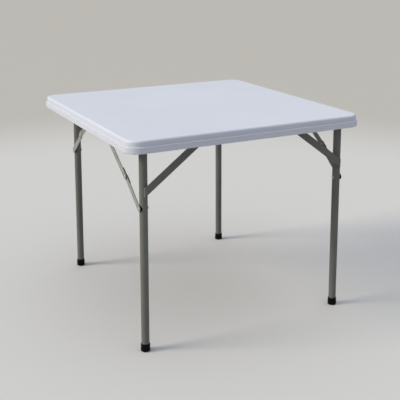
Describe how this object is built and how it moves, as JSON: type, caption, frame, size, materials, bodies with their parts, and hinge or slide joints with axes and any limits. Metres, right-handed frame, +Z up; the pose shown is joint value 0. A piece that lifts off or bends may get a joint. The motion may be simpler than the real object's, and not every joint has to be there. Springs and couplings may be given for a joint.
{
  "type": "folding card table",
  "caption": "Square folding card table: blow moulded plastic top with a stepped rim, two folding steel leg frames with diagonal struts, and two-part stays with stop plates.",
  "frame": {"origin": "on the floor, below the middle of the table top", "axes": "+Z up, +X to the right along the front edge, +Y towards the back"},
  "size_m": [0.88, 0.88, 0.727],
  "materials": {
    "top_plastic": "satin, fine grain",
    "grey_paint": "powder coat, semi matt",
    "black_plastic": "matt moulded",
    "bearing_plastic": "matt moulded",
    "rivet_steel": "zinc plated",
    "screw_steel": "zinc plated"
  },
  "bodies": {
    "table_top": {"table_top": "top_plastic", "axle_saddle_screws": "screw_steel", "stay_bracket_screws": "screw_steel", "stay_bracket_pins": "rivet_steel", "front_left_axle_saddle": "grey_paint", "front_left_axle_bearing": "bearing_plastic", "front_left_stay_bracket": "grey_paint", "front_right_axle_saddle": "grey_paint", "front_right_axle_bearing": "bearing_plastic", "front_right_stay_bracket": "grey_paint", "back_left_axle_saddle": "grey_paint", "back_left_axle_bearing": "bearing_plastic", "back_left_stay_bracket": "grey_paint", "back_right_axle_saddle": "grey_paint", "back_right_axle_bearing": "bearing_plastic", "back_right_stay_bracket": "grey_paint"},
    "front_legs": {"front_axle": "grey_paint", "front_axle_plugs": "black_plastic", "front_leg_pins": "rivet_steel", "front_pin_spacers": "black_plastic", "front_left_leg": "grey_paint", "front_left_strut": "grey_paint", "front_left_foot_cap": "black_plastic", "front_right_leg": "grey_paint", "front_right_strut": "grey_paint", "front_right_foot_cap": "black_plastic"},
    "front_left_upper_stay": {"front_left_upper_stay_bar": "grey_paint", "front_left_upper_stop_plate": "grey_paint", "front_left_upper_stop_rivet": "rivet_steel"},
    "front_left_lower_stay": {"front_left_lower_stay_bar": "grey_paint", "front_left_lower_stop_plate": "grey_paint", "front_left_stay_rivets": "rivet_steel"},
    "front_right_upper_stay": {"front_right_upper_stay_bar": "grey_paint", "front_right_upper_stop_plate": "grey_paint", "front_right_upper_stop_rivet": "rivet_steel"},
    "front_right_lower_stay": {"front_right_lower_stay_bar": "grey_paint", "front_right_lower_stop_plate": "grey_paint", "front_right_stay_rivets": "rivet_steel"},
    "back_legs": {"back_axle": "grey_paint", "back_axle_plugs": "black_plastic", "back_leg_pins": "rivet_steel", "back_pin_spacers": "black_plastic", "back_left_leg": "grey_paint", "back_left_strut": "grey_paint", "back_left_foot_cap": "black_plastic", "back_right_leg": "grey_paint", "back_right_strut": "grey_paint", "back_right_foot_cap": "black_plastic"},
    "back_left_upper_stay": {"back_left_upper_stay_bar": "grey_paint", "back_left_upper_stop_plate": "grey_paint", "back_left_upper_stop_rivet": "rivet_steel"},
    "back_left_lower_stay": {"back_left_lower_stay_bar": "grey_paint", "back_left_lower_stop_plate": "grey_paint", "back_left_stay_rivets": "rivet_steel"},
    "back_right_upper_stay": {"back_right_upper_stay_bar": "grey_paint", "back_right_upper_stop_plate": "grey_paint", "back_right_upper_stop_rivet": "rivet_steel"},
    "back_right_lower_stay": {"back_right_lower_stay_bar": "grey_paint", "back_right_lower_stop_plate": "grey_paint", "back_right_stay_rivets": "rivet_steel"}
  },
  "joints": [
    {"name": "front_leg_fold", "type": "hinge", "parent": "table_top", "child": "front_legs", "pos_m": [0, -0.3865, 0.688], "axis": [1, 0, 0], "range_deg": [0, 90.96]},
    {"name": "front_left_stay_hanger", "type": "hinge", "parent": "table_top", "child": "front_left_upper_stay", "pos_m": [-0.39302, -0.128, 0.69], "axis": [1, 0, 0], "range_deg": [-32.86, 0]},
    {"name": "front_left_stay_elbow", "type": "hinge", "parent": "front_left_upper_stay", "child": "front_left_lower_stay", "pos_m": [-0.39302, -0.29001, 0.57853], "axis": [1, 0, 0], "range_deg": [0, 175.6]},
    {"name": "front_right_stay_hanger", "type": "hinge", "parent": "table_top", "child": "front_right_upper_stay", "pos_m": [0.39302, -0.128, 0.69], "axis": [1, 0, 0], "range_deg": [-32.86, 0]},
    {"name": "front_right_stay_elbow", "type": "hinge", "parent": "front_right_upper_stay", "child": "front_right_lower_stay", "pos_m": [0.39302, -0.29001, 0.57853], "axis": [1, 0, 0], "range_deg": [0, 175.6]},
    {"name": "back_leg_fold", "type": "hinge", "parent": "table_top", "child": "back_legs", "pos_m": [0, 0.3865, 0.694], "axis": [-1, 0, 0], "range_deg": [0, 90.96]},
    {"name": "back_left_stay_hanger", "type": "hinge", "parent": "table_top", "child": "back_left_upper_stay", "pos_m": [-0.34292, 0.128, 0.696], "axis": [-1, 0, 0], "range_deg": [-32.86, 0]},
    {"name": "back_left_stay_elbow", "type": "hinge", "parent": "back_left_upper_stay", "child": "back_left_lower_stay", "pos_m": [-0.34292, 0.29001, 0.58453], "axis": [-1, 0, 0], "range_deg": [0, 175.6]},
    {"name": "back_right_stay_hanger", "type": "hinge", "parent": "table_top", "child": "back_right_upper_stay", "pos_m": [0.34292, 0.128, 0.696], "axis": [-1, 0, 0], "range_deg": [-32.86, 0]},
    {"name": "back_right_stay_elbow", "type": "hinge", "parent": "back_right_upper_stay", "child": "back_right_lower_stay", "pos_m": [0.34292, 0.29001, 0.58453], "axis": [-1, 0, 0], "range_deg": [0, 175.6]}
  ],
  "couplings": [
    {"joint": "front_left_stay_hanger", "follows": "front_leg_fold", "ratio": -0.36122},
    {"joint": "front_left_stay_elbow", "follows": "front_leg_fold", "ratio": 1.9305},
    {"joint": "front_right_stay_hanger", "follows": "front_leg_fold", "ratio": -0.36122},
    {"joint": "front_right_stay_elbow", "follows": "front_leg_fold", "ratio": 1.9305},
    {"joint": "back_left_stay_hanger", "follows": "back_leg_fold", "ratio": -0.36122},
    {"joint": "back_left_stay_elbow", "follows": "back_leg_fold", "ratio": 1.9305},
    {"joint": "back_right_stay_hanger", "follows": "back_leg_fold", "ratio": -0.36122},
    {"joint": "back_right_stay_elbow", "follows": "back_leg_fold", "ratio": 1.9305}
  ]
}
